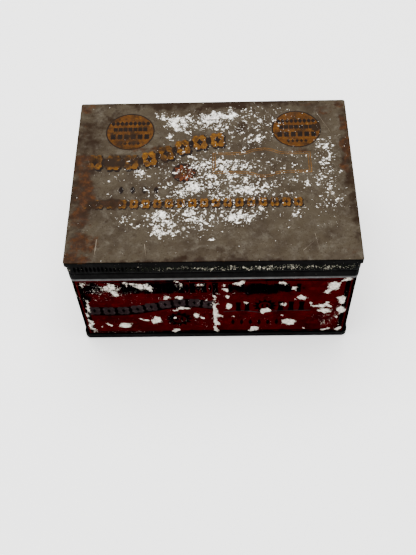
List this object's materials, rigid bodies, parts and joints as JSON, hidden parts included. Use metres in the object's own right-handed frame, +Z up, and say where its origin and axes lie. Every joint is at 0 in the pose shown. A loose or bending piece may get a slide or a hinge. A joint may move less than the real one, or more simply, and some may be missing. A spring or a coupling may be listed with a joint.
{
  "type": "tobacco tin",
  "caption": "Rectangular printed tinplate tin with a deep lift-up lid on two small soldered hinges at the back, closing over a neck collar.",
  "frame": {"origin": "centre of the flat underside", "axes": "+Z up through the lid, +X to the right along the long side, the front face looks along -Y and the hinges are at +Y"},
  "size_m": [0.113, 0.0847, 0.0585],
  "materials": {
    "printed_top": "worn grey-brown printed tinplate with gilt ornament, silver wear and rust",
    "printed_side": "chipped dark maroon printed tinplate",
    "black_side": "worn black japanned tinplate",
    "bare_tinplate": "aged bare tinplate",
    "steel_wire": "dull iron wire"
  },
  "bodies": {
    "tin": {"base_pan": "black_side", "body_wall": "printed_side", "neck_collar": "bare_tinplate", "hinge_left_body_leaf": "bare_tinplate", "hinge_left_pin": "steel_wire", "hinge_right_body_leaf": "bare_tinplate", "hinge_right_pin": "steel_wire"},
    "lid": {"lid_panel": "printed_top", "lid_skirt": "black_side", "hinge_left_lid_leaf": "bare_tinplate", "hinge_right_lid_leaf": "bare_tinplate"}
  },
  "joints": [
    {"name": "lid_hinge", "type": "hinge", "parent": "tin", "child": "lid", "pos_m": [0, 0.04225, 0.0465], "axis": [-1, 0, 0], "range_deg": [0, 180]}
  ]
}
